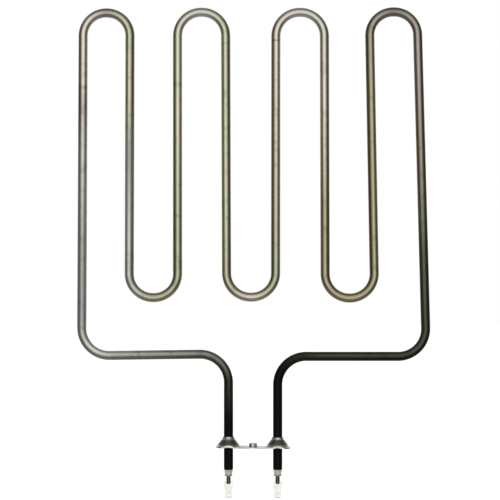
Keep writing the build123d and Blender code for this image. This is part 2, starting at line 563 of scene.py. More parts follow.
@dataclass(frozen=True)
class SheathSteel:
    """Drawn steel tube, tinted by heat: straw and grey on the runs, black scale on the legs.

    The side that faces the outside of the upper bends took more heat and is darker, from one
    place across the tube to another, in millimetres from its middle.
    """

    name: str = "heat_tinted_steel"
    roughness: float = 0.27
    oxide_roughness: float = 0.5
    oxide_dullness: float = 0.9
    scale_gloss: float = 0.08
    drift_length: float = 0.07
    drift_share: float = 0.5
    olive: Colour = (243, 249, 234)
    lilac: Colour = (253, 245, 251)
    hot_span: Span = (-0.4, 1.4)
    hot_side: Colour = (208, 205, 197)
    burnt: Colour = (84, 78, 70)
    stain_share: float = 0.26
    speck_share: float = 0.16
    streak_noise: Span = (0.42, 0.7)
    streak_share: float = 0.1
    stain_roughness: float = 0.05
    relief: Span = (0.15, 0.01)

    def build(self, effects: Effects, marks: Iterable[tuple[float, float, float]]) -> Material:
        """Builds the material, which reads the tube's tint, oxide and unrolled place.

        Args:
            effects: The shared effects.
            marks: The burnt rings, as distances along the tube and half lengths in millimetres and
                strengths from 0 to 1.

        Returns:
            The material.
        """
        w = MaterialWiring(self.name)
        place = w.add("Attribute", attribute_name="unrolled").outputs["Vector"]
        tint = w.add("Attribute", attribute_name="heat_tint").outputs["Color"]
        oxide = w.add("Attribute", attribute_name="oxide").outputs["Fac"]
        colour = w.effect(
            effects.drift, place, Color=tint, Length=self.drift_length, Amount=self.drift_share,
            First=linear(*self.olive), Second=linear(*self.lilac),
        )
        across = w.add("SeparateXYZ", {0: place}).outputs[1]
        heated = w.between(across, *metres(self.hot_span))
        clean = w.math("SUBTRACT", 1.0, oxide, clamp=True)
        colour = w.mix(w.times(heated, clean), colour, linear(*self.hot_side), "MULTIPLY")
        stains = w.effect(effects.blotches, place, Size=0.007, Low=0.5, High=0.78, Detail=4.0)
        colour = w.darkened(colour, stains, self.stain_share, self.burnt)
        for distance, half_length, strength in marks:
            ring = w.effect(effects.ring, place, Place=distance * MM, Half_Length=half_length * MM)
            colour = w.darkened(colour, ring, strength, self.burnt)
        specks = w.effect(effects.blotches, place, Size=0.0012, Low=0.64, High=0.74, Detail=2.0)
        colour = w.darkened(colour, specks, self.speck_share, self.burnt)
        lines = w.effect(effects.lines, place, Spacing=0.0004, Stretch=80.0)
        streaks = w.between(lines, *self.streak_noise)
        colour = w.darkened(colour, streaks, self.streak_share, self.burnt)
        dull = w.times(oxide, self.oxide_roughness - self.roughness)
        uneven = w.times(stains, self.stain_roughness)
        roughness = w.plus(w.plus(dull, uneven), self.roughness)
        metallic = w.math("SUBTRACT", 1.0, w.times(oxide, self.oxide_dullness))
        return w.coated(
            colour, roughness, lines, self.relief,
            {"Metallic": metallic, "Specular IOR Level": self.scale_gloss},
        )


@dataclass(frozen=True)
class PlatedSteel:
    """Zinc or tin on pressed or turned steel: dull patches, fine rolling lines and a soft gloss."""

    name: str
    bright: Colour
    dull: Colour
    roughness: float
    patch: float = 0.004
    dullness: float = 0.5
    pit_share: float = 0.3
    patch_roughness: float = 0.2
    relief: Span = (0.3, 0.02)

    def build(self, effects: Effects) -> Material:
        """Builds the material, which reads Object coordinates.

        Args:
            effects: The shared effects.

        Returns:
            The material.
        """
        w = MaterialWiring(self.name)
        place = w.add("TexCoord").outputs["Object"]
        patches = w.effect(effects.blotches, place, Size=self.patch, Low=0.4, High=0.66, Detail=5.0)
        amount = w.times(patches, self.dullness)
        colour = w.mix(amount, linear(*self.bright), linear(*self.dull))
        pits = w.effect(effects.blotches, place, Size=0.0006, Low=0.6, High=0.74, Detail=2.0)
        colour = w.mix(w.times(pits, self.pit_share), colour, linear(*self.dull))
        roughness = w.plus(w.times(amount, self.patch_roughness), self.roughness)
        colour, roughness = self.dressed(w, place, colour, roughness)
        lines = w.effect(effects.lines, place, Spacing=0.0002, Stretch=25.0)
        return w.coated(colour, roughness, lines, self.relief, {"Metallic": 1.0})

    def dressed(
        self, w: Wiring, place: Socket, colour: Socket, roughness: Socket
    ) -> tuple[Socket, Socket]:
        """The colour and roughness after any stains, painted shade and rougher places: here
        nothing.
        """
        return colour, roughness


@dataclass(frozen=True)
class DrawnPlate(PlatedSteel):
    """Plated sheet with painted shade on its drawn cones, eased off at the necks, which are
    rougher.

    The cones' heights are in millimetres above its underside. The smear lies across the flat: the
    places along X where it starts, is full, fades and ends.
    """

    # Painted shade: the colour that darkens the drawn cones, fully over most of each cone and less
    # at its neck.
    drawn: Colour = (100, 98, 84)
    cone_shade_share: float = 0.93
    neck_shade_share: float = 0.25
    cone_foot: Span = (2.2, 3.6)
    cone_neck: Span = (6.6, 7.6)
    neck_roughness: float = 0.14
    smear: Colour = (150, 148, 138)
    smear_share: float = 0.8
    smear_span: tuple[float, float, float, float] = (-15.0, -12.0, -7.0, 0.0)

    def dressed(
        self, w: Wiring, place: Socket, colour: Socket, roughness: Socket
    ) -> tuple[Socket, Socket]:
        """Darkens the smear, paints shade on the cones, and roughens the necks.

        Args:
            w: The material's wiring.
            place: The Object coordinates.
            colour: The colour so far.
            roughness: The roughness so far.

        Returns:
            The colour and the roughness.
        """
        across, _, height = w.add("SeparateXYZ", {0: place}).outputs
        left, full, fading, right = (x * MM for x in self.smear_span)
        rising = w.between(across, left, full, 0.0, self.smear_share)
        smeared = w.times(rising, w.between(across, fading, right, 1.0, 0.0))
        colour = w.mix(smeared, colour, linear(*self.smear))
        # Painted shade on the cones, from their foot up, eased off at the necks.
        above = w.between(height, *metres(self.cone_foot))
        neck = w.between(height, *metres(self.cone_neck))
        share = w.between(neck, 0.0, 1.0, self.cone_shade_share, self.neck_shade_share)
        colour = w.mix(w.times(above, share), colour, linear(*self.drawn))
        return colour, w.plus(roughness, w.times(neck, self.neck_roughness))


@dataclass(frozen=True)
class MattSolid:
    """A pressed, cast or moulded solid that is no metal: ceramic, packed powder or resin."""

    name: str
    body: Colour
    stain: Colour
    roughness: float
    grain: float = 0.0005
    coat: float = 0.0
    coat_roughness: float = 0.2
    stain_share: float = 0.5
    stain_roughness: float = 0.15
    relief: Span = (0.25, 0.05)

    def build(self, effects: Effects) -> Material:
        """Builds the material, which reads Object coordinates.

        Args:
            effects: The shared effects.

        Returns:
            The material.
        """
        w = MaterialWiring(self.name)
        place = w.add("TexCoord").outputs["Object"]
        stains = w.effect(effects.blotches, place, Size=0.0024, Low=0.45, High=0.7, Detail=4.0)
        amount = w.times(stains, self.stain_share)
        grains = w.effect(effects.blotches, place, Size=self.grain, Low=0.4, High=0.6, Detail=3.0)
        colour = self.dressed(w, place, w.mix(amount, linear(*self.body), linear(*self.stain)))
        roughness = w.plus(w.times(amount, self.stain_roughness), self.roughness)
        return w.coated(
            colour, roughness, grains, self.relief,
            {"Coat Weight": self.coat, "Coat Roughness": self.coat_roughness},
        )

    def dressed(self, w: Wiring, place: Socket, colour: Socket) -> Socket:
        """The colour after any painted shade: here nothing."""
        return colour


@dataclass(frozen=True)
class ShadedBrimCeramic(MattSolid):
    """Ceramic with painted shade towards its lower brim, between two heights in millimetres."""

    # Painted shade: the colour that darkens the bead towards its lower brim.
    brim_shade: Colour = (112, 108, 98)
    brim_shade_share: float = 0.85
    brim: Span = (-24.3, -21.6)

    def dressed(self, w: Wiring, place: Socket, colour: Socket) -> Socket:
        """Paints shade on the colour towards the brim.

        Args:
            w: The material's wiring.
            place: The Object coordinates.
            colour: The colour so far.

        Returns:
            The colour.
        """
        height = w.add("SeparateXYZ", {0: place}).outputs[2]
        # Painted shade, darker towards the bottom of the bead.
        amount = w.between(height, *metres(self.brim), self.brim_shade_share, 0.0)
        return w.mix(amount, colour, linear(*self.brim_shade))


FINISHES: dict[str, PlatedSteel | MattSolid] = {
    "wire": PlatedSteel("coil_wire", (150, 146, 138), (104, 100, 92), 0.35),
    "powder": MattSolid("packed_magnesia", (226, 224, 216), (206, 202, 192), 0.9, grain=0.0002),
    "pin": PlatedSteel(
        "bare_pin_steel", (104, 102, 95), (58, 56, 50), 0.3, patch=0.0015, dullness=0.7
    ),
    # The beads carry painted shade towards their lower brims.
    "bead": ShadedBrimCeramic("brim_shaded_ceramic", (192, 192, 184), (152, 150, 140), 0.55, coat=0.15),
    "tab": PlatedSteel(
        "tinned_tab", (250, 251, 246), (238, 238, 231), 0.46, patch=0.003, dullness=0.3
    ),
    "seal": MattSolid("poured_resin", (96, 52, 38), (70, 40, 30), 0.4, coat=0.3),
    # The bracket carries painted shade on its drawn cones.
    "bracket": DrawnPlate("drawn_plate", (207, 207, 199), (138, 136, 124), 0.25),
    "nut": PlatedSteel("turned_nut", (206, 205, 198), (130, 128, 118), 0.33, patch=0.0015),
}
built_finishes: dict[str, Material] = {}


def finish_of(name: str, effects: Effects) -> Material:
    """Gives the material of a named finish, built the first time that it is asked for.

    Args:
        name: The finish's name in FINISHES.
        effects: The shared effects.

    Returns:
        The material.
    """
    if name not in built_finishes:
        built_finishes[name] = FINISHES[name].build(effects)
    return built_finishes[name]


# ---- The tube's route ----


@dataclass
class Route:
    """The tube's centreline, straight runs joined by tangent arcs, in the plane of X and Z.

    A station is a place along it: a whole number at the middle of each corner's arc, counted from 0
    at the left leg's end, and even shares of the length between them. Segment 0 is the left leg,
    1 the left shelf, 2 + 2n run n, 3 + 2n the bend after run n, 17 the right shelf and 18 the
    right leg.
    """

    leg_x: float = 21.25
    leg_end_z: float = -18.7
    upper_z: float = 347.6
    lower_z: float = 160.7
    run_x_upper: tuple[float, ...] = (-147.0, -106.5, -65.3, -23.7, 19.7, 61.7, 101.1, 142.6)
    run_x_lower: tuple[float, ...] = (-147.9, -107.1, -65.3, -23.0, 19.5, 62.3, 104.6, 147.7)
    top_bend_z: tuple[float, ...] = (376.1, 376.7, 376.6, 377.0)
    bottom_bend_z: tuple[float, ...] = (129.9, 130.3, 129.5)
    bend_flat: float = 0.6
    corner_z: tuple[float, float] = (79.6, 79.1)
    elbow_z: tuple[float, float] = (81.3, 79.1)
    corner_r: float = 23.8
    elbow_r: float = 24.6
    arc_step: float = np.radians(4.5)
    straight_step: float = 8.0

    points: np.ndarray = field(init=False)
    heading: np.ndarray = field(init=False)
    distance: np.ndarray = field(init=False)
    station: np.ndarray = field(init=False)
    bend: np.ndarray = field(init=False)

    def __post_init__(self) -> None:
        """Works out the route's points, headings, distances and stations."""
        corners, radii = self._corners()
        points, heading, bend, middles = [corners[:1]], [], [np.zeros(1)], []
        heading.append((corners[1:2] - corners[:1]) / np.linalg.norm(corners[1] - corners[0]))
        for i, radius in enumerate(radii, start=1):
            back, ahead = corners[i - 1] - corners[i], corners[i + 1] - corners[i]
            cosine = back @ ahead / np.linalg.norm(back) / np.linalg.norm(ahead)
            steps = 2 * int(np.ceil((np.pi - np.arccos(cosine)) / self.arc_step / 2))
            arc, turning = corner_arc(corners[i - 1], corners[i], corners[i + 1], radius, steps)
            self._run_to(arc[0], points, heading, bend)
            middles.append(sum(len(p) for p in points) + steps // 2)
            points.append(arc)
            heading.append(turning)
            bend.append(np.sin(np.linspace(0, np.pi, steps + 1)))
        self._run_to(corners[-1], points, heading, bend)
        points.append(corners[-1:])
        heading.append(heading[-1][-1:])
        bend.append(np.zeros(1))
        self.points = np.concatenate(points)
        self.heading = np.concatenate(heading)
        self.bend = np.concatenate(bend)
        gaps = np.linalg.norm(np.diff(self.points, axis=0), axis=1)
        self.distance = np.concatenate([[0.0], np.cumsum(gaps)])
        known = self.distance[[0, *middles, len(self.points) - 1]]
        self.station = np.interp(self.distance, known, np.arange(len(known)))

    def _run_x(self, run: int, z: float) -> float:
        """Centre of a run at height z, on the straight line through its two given centres."""
        share = (z - self.lower_z) / (self.upper_z - self.lower_z)
        return self.run_x_lower[run] + share * (self.run_x_upper[run] - self.run_x_lower[run])

    def _corners(self) -> tuple[np.ndarray, list[float]]:
        """Lists the route's corners from leg to leg.

        Returns:
            The corners as rows of x and z, and the radius of each but the two ends.
        """
        corners = [(-self.leg_x, self.leg_end_z), (-self.leg_x, self.elbow_z[0])]
        corners.append((self._run_x(0, self.corner_z[0]), self.corner_z[0]))
        radii = [self.elbow_r, self.corner_r]
        for bend in range(len(self.run_x_upper) - 1):
            z = (self.bottom_bend_z if bend % 2 else self.top_bend_z)[bend // 2]
            left, right = self._run_x(bend, z), self._run_x(bend + 1, z)
            corners += [(left, z), (right, z)]
            radii += [(right - left - self.bend_flat) / 2] * 2
        last = len(self.run_x_upper) - 1
        corners += [
            (self._run_x(last, self.corner_z[1]), self.corner_z[1]),
            (self.leg_x, self.elbow_z[1]),
            (self.leg_x, self.leg_end_z),
        ]
        return np.array(corners), [*radii, self.corner_r, self.elbow_r]

    def _run_to(self, end: np.ndarray, points: list, heading: list, bend: list) -> None:
        """Adds the even points of a straight run between the last point so far and its end.

        Args:
            end: The run's end, which isn't added.
            points: The route's points so far, as a list of arrays.
            heading: Their directions of travel.
            bend: Their shares of a bend.
        """
        start = points[-1][-1]
        count = int(np.ceil(np.linalg.norm(end - start) / self.straight_step))
        share = np.arange(1, count)[:, None] / count
        points.append(start + share * (end - start))
        heading.append(np.repeat(heading[-1][-1:], count - 1, axis=0))
        bend.append(np.zeros(count - 1))

    @property
    def length(self) -> float:
        """The length of the whole route."""
        return float(self.distance[-1])

    def at(self, distance: np.ndarray) -> tuple[np.ndarray, np.ndarray, np.ndarray]:
        """The route's place, heading and sideways direction at each distance along it.

        Args:
            distance: Distances from the left leg's end.

        Returns:
            Three arrays of rows of x, y and z: the place, the unit heading (hx, 0, hz) and the
            sideways direction (-hz, 0, hx), which lies in the route's plane.
        """
        def carried(column: np.ndarray) -> np.ndarray:
            """A column of the route's own points, between them at each distance."""
            return np.interp(distance, self.distance, column)

        flat = np.zeros_like(distance)
        place = np.stack([carried(self.points[:, 0]), flat, carried(self.points[:, 1])], axis=-1)
        hx, hz = carried(self.heading[:, 0]), carried(self.heading[:, 1])
        size = np.hypot(hx, hz)
        ahead = np.stack([hx / size, flat, hz / size], axis=-1)
        return place, ahead, np.stack([-ahead[:, 2], flat, ahead[:, 0]], axis=-1)


def on_leg(side: Side, share: float) -> float:
    """The station of a place on a leg, from 0 at its end to 1 at its elbow."""
    return share if side is Side.LEFT else 19.0 - share


def on_shelf(side: Side, share: float) -> float:
    """The station of a place on a shelf, from 0 at the elbow to 1 at the outer corner."""
    return 1.0 + share if side is Side.LEFT else 18.0 - share


def on_run(run: int, height: float) -> float:
    """The station of a place on a run, from 0 at its lower end to 1 at its upper end."""
    return 2.0 + 2 * run + (height if run % 2 == 0 else 1 - height)


def on_bend(bend: int) -> float:
    """The station of a bend's crown, counted from the left."""
    return 3.5 + 2 * bend


HEAT_TINTS: tuple[tuple[float, HeatTint], ...] = (
    (on_leg(Side.LEFT, 0.0), HeatTint.BLACK),
    (on_leg(Side.LEFT, 0.5), HeatTint.BLACK),
    (on_leg(Side.LEFT, 0.8), HeatTint.SCALE),
    (on_shelf(Side.LEFT, 0.05), HeatTint.GUNMETAL),
    (on_shelf(Side.LEFT, 0.8), HeatTint.STEEL),
    (on_run(0, 0.0), HeatTint.SILVER),
    (on_run(0, 0.1), HeatTint.STEEL),
    (on_run(0, 0.3), HeatTint.STEEL),
    (on_run(0, 0.6), HeatTint.SILVER),
    (on_run(0, 0.75), HeatTint.LILAC),
    (on_run(0, 0.8), HeatTint.CREAM),
    (on_run(0, 1.0), HeatTint.CREAM),
    (on_bend(0), HeatTint.TAUPE),
    (on_run(1, 0.9), HeatTint.STRAW),
    (on_run(1, 0.7), HeatTint.STRAW),
    (on_run(1, 0.5), HeatTint.STEEL),
    (on_run(1, 0.2), HeatTint.SILVER),
    (on_bend(1), HeatTint.DEEP_STRAW),
    (on_run(2, 0.2), HeatTint.DEEP_STRAW),
    (on_run(2, 0.7), HeatTint.PALE_STRAW),
    (on_bend(2), HeatTint.SILVER),
    (on_run(3, 0.9), HeatTint.STRAW),
    (on_run(3, 0.3), HeatTint.STRAW),
    (on_run(3, 0.1), HeatTint.DEEP_STRAW),
    (on_bend(3), HeatTint.CREAM),
    (on_run(4, 0.1), HeatTint.DEEP_STRAW),
    (on_run(4, 0.5), HeatTint.STRAW),
    (on_run(4, 0.9), HeatTint.CREAM),
    (on_bend(4), HeatTint.SILVER),
    (on_run(5, 0.7), HeatTint.CREAM),
    (on_run(5, 0.3), HeatTint.BRONZE),
    (on_bend(5), HeatTint.BRONZE),
    (on_run(6, 0.7), HeatTint.BRONZE),
    (on_run(6, 1.0), HeatTint.TAUPE),
    (on_bend(6), HeatTint.UMBER),
    (on_run(7, 0.9), HeatTint.TAUPE),
    (on_run(7, 0.6), HeatTint.BROWN),
    (on_run(7, 0.4), HeatTint.OLIVE),
    (on_run(7, 0.3), HeatTint.SMOKE),
    (on_shelf(Side.RIGHT, 0.9), HeatTint.SCALE),
    (on_shelf(Side.RIGHT, 0.3), HeatTint.SCALE),
    (on_leg(Side.RIGHT, 0.95), HeatTint.BLACK),
    (on_leg(Side.RIGHT, 0.0), HeatTint.BLACK),
)

# Burnt rings: the station, the half length in millimetres and the strength of each.
BURNT_RINGS: tuple[tuple[float, float, float], ...] = (
    (on_run(3, 0.905), 1.4, 0.18),
    (on_run(4, 0.915), 1.2, 0.38),
    (on_run(0, 0.79), 3.0, 0.3),
    (on_run(2, 0.755), 4.0, 0.25),
)


# ---- The heated length: sheath, coil and packing ----


@dataclass
class HeatedLength:
    """The bent tube, the coil inside it and the powder packed between them."""

    route: Route
    outer_r: float = 4.0
    wall: float = 0.6
    end_round: float = 0.15
    end_steps: int = 4
    flattening: float = 0.012
    around: int = 48
    coil_r: float = 1.7
    coil_start: float = 52.0
    wire_r: float = 0.2
    wire_pitch: float = 2.0
    steps_per_turn: int = 8
    wire_sides: int = 6

    def build(self, effects: Effects) -> None:
        """Builds the sheath and the coil, and dresses the packing.

        Args:
            effects: The shared effects.
        """
        marks = [
            (float(np.interp(station, self.route.station, self.route.distance)), half, strength)
            for station, half, strength in BURNT_RINGS
        ]
        finish = SheathSteel().build(effects, marks)
        make_piece("sheath", self.sheath(), finish, "sheath_tube")
        wire = finish_of("wire", effects)
        make_piece("coil", self.coil(), wire, "resistance_coil")
        dress("magnesia_fill", finish_of("powder", effects))

    def sheath(self) -> Surface:
        """The tube's wall: a ring carried along the route, outside and back inside.

        The point at distance d, radius r and turn a is the route's place at d, plus r cos a
        sideways and r sin a along Y. Each ring is a little narrower in the route's plane at the
        middle of a bend, where the tube was pressed on its former.

        Returns:
            The wall, with the tint, oxide and unrolled place of each vertex.
        """
        route = self.route
        edge = np.linspace(0, np.pi / 2, self.end_steps)
        start_d = self.end_round * (1 - np.cos(edge))
        start_r = self.outer_r - self.end_round * (1 - np.sin(edge))
        between = route.distance[1:-1]
        distance = np.concatenate([
            start_d, between, route.length - start_d[::-1], [route.length], between[::-1], [0.0]
        ])
        outside, inside = np.full(len(between), self.outer_r), self.outer_r - self.wall
        radius = np.concatenate([
            start_r, outside, start_r[::-1], np.full(len(between) + 2, inside)
        ])
        turn = np.linspace(0, 2 * np.pi, self.around, endpoint=False)
        place, _, sideways = route.at(distance)
        bent = np.interp(distance, route.distance, route.bend)[:, None]
        across = radius[:, None] * np.cos(turn) * (1 - self.flattening * bent)
        through = radius[:, None] * np.sin(turn)
        offset = across[..., None] * sideways[:, None] + through[..., None] * Y_AXIS
        points = place[:, None] + offset
        wall = grid(points, wrap_rows=True)
        along = np.broadcast_to(distance[:, None], across.shape)
        wall.values["unrolled"] = np.stack([along, across, through], axis=-1).reshape(-1, 3) * MM
        self._tint(wall, distance)
        return wall

    def _tint(self, wall: Surface, distance: np.ndarray) -> None:
        """Gives each ring the heat tint of its station, mixed evenly between the named places.

        Args:
            wall: The tube's wall, ring by ring.
            distance: Each ring's distance along the route.
        """
        station = np.interp(distance, self.route.distance, self.route.station)
        known = np.array([place for place, _ in HEAT_TINTS])
        light = np.array([tint.light for _, tint in HEAT_TINTS])
        oxide = np.array([tint.oxide for _, tint in HEAT_TINTS])
        rings = np.stack([np.interp(station, known, light[:, i]) for i in range(4)], axis=-1)
        wall.values["heat_tint"] = np.repeat(rings, self.around, axis=0)
        wall.values["oxide"] = np.repeat(np.interp(station, known, oxide), self.around)

    def coil(self) -> Surface:
        """The resistance wire: a round section carried along a helix about the route.

        At distance d the helix has turned by a = 2 pi d / pitch. With e the outward direction
        cos a sideways + sin a along Y, the wire's centre is the route's place plus its radius
        along e, and its section turns in the plane of e and of the helix's own cross direction.

        Returns:
            The wire, drawn to a point at each end.
        """
        length = self.route.length - 2 * self.coil_start
        rows = int(length / self.wire_pitch * self.steps_per_turn)
        distance = self.coil_start + np.linspace(0, length, rows)
        turn = (2 * np.pi * distance / self.wire_pitch)[:, None]
        place, ahead, sideways = self.route.at(distance)
        outward = np.cos(turn) * sideways + np.sin(turn) * Y_AXIS
        helix_r = self.coil_r - self.wire_r
        travel = ahead * self.wire_pitch / (2 * np.pi)
        travel = travel + helix_r * (np.cos(turn) * Y_AXIS - np.sin(turn) * sideways)
        travel /= np.linalg.norm(travel, axis=1, keepdims=True)
        crosswise = np.cross(travel, outward)
        section = np.linspace(0, 2 * np.pi, self.wire_sides, endpoint=False)[None, :, None]
        ring = np.cos(section) * outward[:, None] + np.sin(section) * crosswise[:, None]
        centre = place + helix_r * outward
        points = centre[:, None] + self.wire_r * ring
        first = np.repeat(centre[None, :1], self.wire_sides, axis=1)
        last = np.repeat(centre[None, -1:], self.wire_sides, axis=1)
        return grid(np.concatenate([first, points, last]))


# ---- Leg ends: pins, seals, beads and tabs ----


@dataclass
class LegEnd:
    """What closes one leg and carries the current out of it."""

    side: Side
    leg_x: float = 21.25
    leg_end_z: float = -18.7
    pin_r: float = 1.7
    pin_end_z: float = -31.3
    pin_top_z: float = 41.3
    pin_round: float = 1.1
    spigot_r: float = 1.3
    spigot_length: float = 8.0
    flat_y: float = 0.6
    flat_length: float = 6.0
    bead_shank_r: float = 3.3
    bead_shank_length: float = 5.0
    bead_bore_r: float = 1.75
    bead_shoulder_r: float = 3.55
    bead_waist_r: float = 3.15
    bead_brim_r: float = 3.35
    bead_length: float = 5.6
    bead_shoulder: float = 1.5
    bead_brim: float = 1.3
    tab_top_z: float = -25.5
    tab_tip_z: float = -43.3
    tab_shoulder_z: tuple[float, float] = (-28.7, -34.7)
    tongue_half: float = 2.1
    shoulder_half: float = 3.7
    blade_half: float = 3.15
    tab_half_thickness: float = 0.4
    tip_cut: float = 1.1
    lead_in: float = 0.25
    tab_edge: float = 0.1
    dimple_r: float = 1.6
    dimple_depth: float = 0.25
    dimple_to_tip: float = 3.9
    waist_rows: int = 16
    tab_step: float = 0.2
    tab_edge_steps: int = 4
    tab_columns: int = 30

    @property
    def axis_x(self) -> float:
        """The leg's place along X."""
        return self.side.value * self.leg_x

    def build(self, effects: Effects) -> None:
        """Builds the pin, the bead and the tab, and dresses the seal.

        Args:
            effects: The shared effects.
        """
        tag = self.side.tag
        for kind, surface, slot, node in (
            ("pin", self.pin(), "pin_steel", "terminal_pin"),
            ("bead", self.bead(), "bead_ceramic", "ceramic_bead"),
            ("tab", self.tab(), "tab_steel", "tab_terminal"),
        ):
            make_piece(f"{kind}_{tag}", surface, finish_of(kind, effects), f"{node}_{tag}")
        dress(f"resin_seal_{tag}", finish_of("seal", effects))

    def pin(self) -> Surface:
        """The cold pin: a turned profile whose back is cut flat at y for the tab.

        The cut holds every point of the last stretch to at most the flat's y.

        Returns:
            The pin, from its round end to its spigot.
        """
        flat_z = self.pin_end_z + self.flat_length
        spigot_z = self.pin_top_z - self.spigot_length
        outline = rounded([
            (0, self.pin_end_z, 0), (self.pin_r, self.pin_end_z, self.pin_round),
            (self.pin_r, flat_z, 0), (self.pin_r, flat_z, 0),
            (self.pin_r, spigot_z, 0.2), (self.spigot_r, spigot_z, 0.1),
            (self.spigot_r, self.pin_top_z, 0.2), (0, self.pin_top_z, 0),
        ], steps=6)
        points = lathe(outline, self.axis_x, closed=False)
        cut = np.arange(len(outline)) <= np.flatnonzero(outline[:, 1] == flat_z)[0]
        points[cut, :, 1] = np.minimum(points[cut, :, 1], self.flat_y)
        return grid(points)

    def bead(self) -> Surface:
        """The ceramic bead: a turned profile, with its hollow waist as a sine between two rims.

        Returns:
            The bead, from its brim to the end of its shank in the tube.
        """
        bottom = self.leg_end_z - self.bead_length
        seal_z = self.leg_end_z + self.bead_shank_length
        waist_top, waist_bottom = self.leg_end_z - self.bead_shoulder, bottom + self.bead_brim
        share = np.linspace(0, 1, self.waist_rows)[1:-1]
        rim = self.bead_shoulder_r + share * (self.bead_brim_r - self.bead_shoulder_r)
        depth = (self.bead_shoulder_r + self.bead_brim_r) / 2 - self.bead_waist_r
        waist = np.stack([
            rim - depth * np.sin(np.pi * share),
            waist_top + share * (waist_bottom - waist_top),
        ], axis=-1)
        above = rounded([
            (self.bead_bore_r, bottom, 0.15), (self.bead_bore_r, seal_z, 0.2),
            (self.bead_shank_r, seal_z, 0.3), (self.bead_shank_r, self.leg_end_z, 0.1),
            (self.bead_shoulder_r, self.leg_end_z, 0.3), (self.bead_shoulder_r, waist_top, 0),
        ])
        below = rounded([
            (self.bead_brim_r, waist_bottom, 0), (self.bead_brim_r, bottom, 0.45),
            (self.bead_bore_r, bottom, 0),
        ])
        return grid(lathe(np.concatenate([above, waist, below[:-1]]), self.axis_x, closed=True))

    def tab(self) -> Surface:
        """The push-on tab: a flat section carried down an outline of half widths.

        Each section is a rectangle with rounded edges. A point of its front lies back by the depth
        of the detent, a ball of radius R pressed in by t: sqrt(R squared less the squared distance
        from its middle) less R - t, where that is above 0.

        Returns:
            The tab, from its tongue on the pin to its tip.
        """
        top, tip = self.tab_top_z, self.tab_tip_z
        shoulder_top, shoulder_base = self.tab_shoulder_z
        outline = rounded([
            (self.tab_edge, top, 0), (self.tongue_half, top, 0.4),
            (self.tongue_half, shoulder_top, 0.2), (self.shoulder_half, shoulder_top, 0.5),
            (self.shoulder_half, shoulder_base, 0.5), (self.blade_half, shoulder_base, 0.04),
            (self.blade_half, tip + self.tip_cut, 0.3), (self.blade_half - self.tip_cut, tip, 0.2),
            (self.tab_edge, tip, 0),
        ])
        rows = divided(outline, self.tab_step)
        rows = np.concatenate([rows[:1], rows, rows[-1:]])
        half, z = rows[:, 0], rows[:, 1]
        led_in = self.lead_in * (1 - smoothstep(tip, tip + 2 * self.lead_in, z))
        thin = self.tab_half_thickness - led_in
        thin[[0, -1]] = 0
        turn = np.linspace(0, np.pi / 2, self.tab_edge_steps)
        level = np.linspace(-1, 1, self.tab_columns)[1:-1]
        edge = np.minimum(self.tab_edge, thin)[:, None]
        corner_x = half[:, None] - edge * (1 - np.sin(turn))
        corner_y = thin[:, None] - edge * (1 - np.cos(turn))
        face_x = (half[:, None] - edge) * level
        face_y = np.broadcast_to(thin[:, None], face_x.shape)
        front = [-corner_x[:, ::-1], face_x, corner_x]
        across = np.concatenate([*front, corner_x[:, ::-1], -face_x, -corner_x], 1)
        out = np.concatenate([corner_y[:, ::-1], face_y, corner_y], 1)
        out = np.concatenate([-out, out], 1)
        from_middle = np.hypot(across, (z - tip - self.dimple_to_tip)[:, None])
        ball = np.sqrt(np.clip(self.dimple_r ** 2 - from_middle ** 2, 0, None))
        pressed = np.clip(ball - (self.dimple_r - self.dimple_depth), 0, None)
        middle_y = self.flat_y + self.tab_half_thickness
        depth = middle_y + out + np.where(out < 0, pressed, 0)
        height = np.broadcast_to(z[:, None], across.shape)
        return grid(np.stack([self.axis_x + across, depth, height], axis=-1))


# ---- Bracket and nut ----


